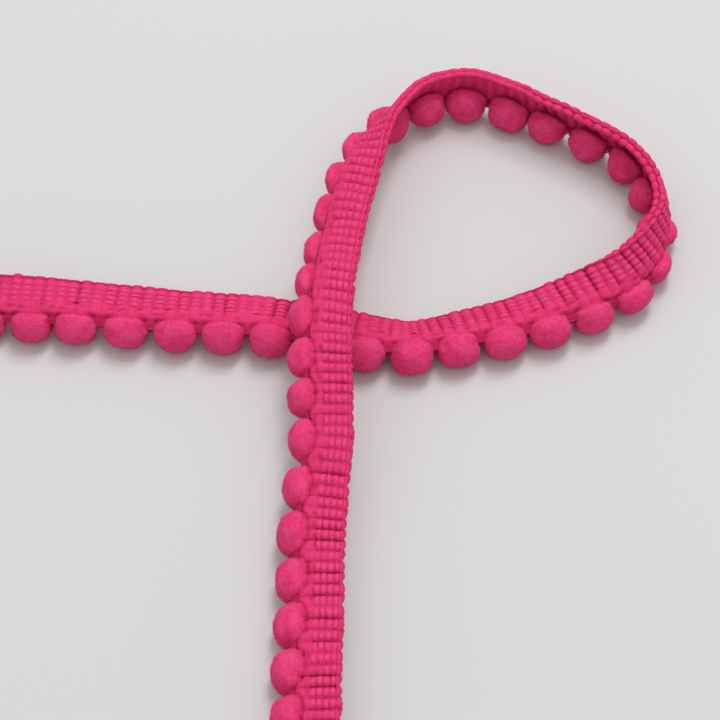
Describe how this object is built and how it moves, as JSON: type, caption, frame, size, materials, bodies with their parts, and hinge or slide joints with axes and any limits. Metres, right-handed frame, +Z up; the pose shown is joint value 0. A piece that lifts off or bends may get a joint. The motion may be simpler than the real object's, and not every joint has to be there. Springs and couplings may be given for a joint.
{
  "type": "pompom fringe trim",
  "caption": "Cut length of narrow ribbed braid with a row of round cut-pile pompoms bound along one edge, lying in a loop that crosses over itself.",
  "frame": {"origin": "on the surface the trim lies on, under the middle of its bounding box", "axes": "+Z up, away from that surface; +Y along the overall length, from the front cut end towards the back of the loop; +X towards the right-hand bend of the loop"},
  "size_m": [0.1222, 0.1288, 0.0139],
  "materials": {
    "braid_yarn": "matte",
    "pompom_pile": "matte"
  },
  "bodies": {
    "root": {"braid": "braid_yarn", "pompom_01": "pompom_pile", "pompom_02": "pompom_pile", "pompom_03": "pompom_pile", "pompom_04": "pompom_pile", "pompom_05": "pompom_pile", "pompom_06": "pompom_pile", "pompom_07": "pompom_pile", "pompom_08": "pompom_pile", "pompom_09": "pompom_pile", "pompom_10": "pompom_pile", "pompom_11": "pompom_pile", "pompom_12": "pompom_pile", "pompom_13": "pompom_pile", "pompom_14": "pompom_pile", "pompom_15": "pompom_pile", "pompom_16": "pompom_pile", "pompom_17": "pompom_pile", "pompom_18": "pompom_pile", "pompom_19": "pompom_pile", "pompom_20": "pompom_pile", "pompom_21": "pompom_pile", "pompom_22": "pompom_pile", "pompom_23": "pompom_pile", "pompom_24": "pompom_pile", "pompom_25": "pompom_pile", "pompom_26": "pompom_pile", "pompom_27": "pompom_pile", "pompom_28": "pompom_pile", "pompom_29": "pompom_pile", "pompom_30": "pompom_pile", "pompom_31": "pompom_pile", "pompom_32": "pompom_pile", "pompom_33": "pompom_pile", "pompom_34": "pompom_pile", "pompom_35": "pompom_pile", "pompom_36": "pompom_pile", "pompom_37": "pompom_pile", "pompom_38": "pompom_pile", "pompom_39": "pompom_pile", "pompom_40": "pompom_pile", "pompom_41": "pompom_pile", "pompom_42": "pompom_pile"}
  },
  "joints": []
}
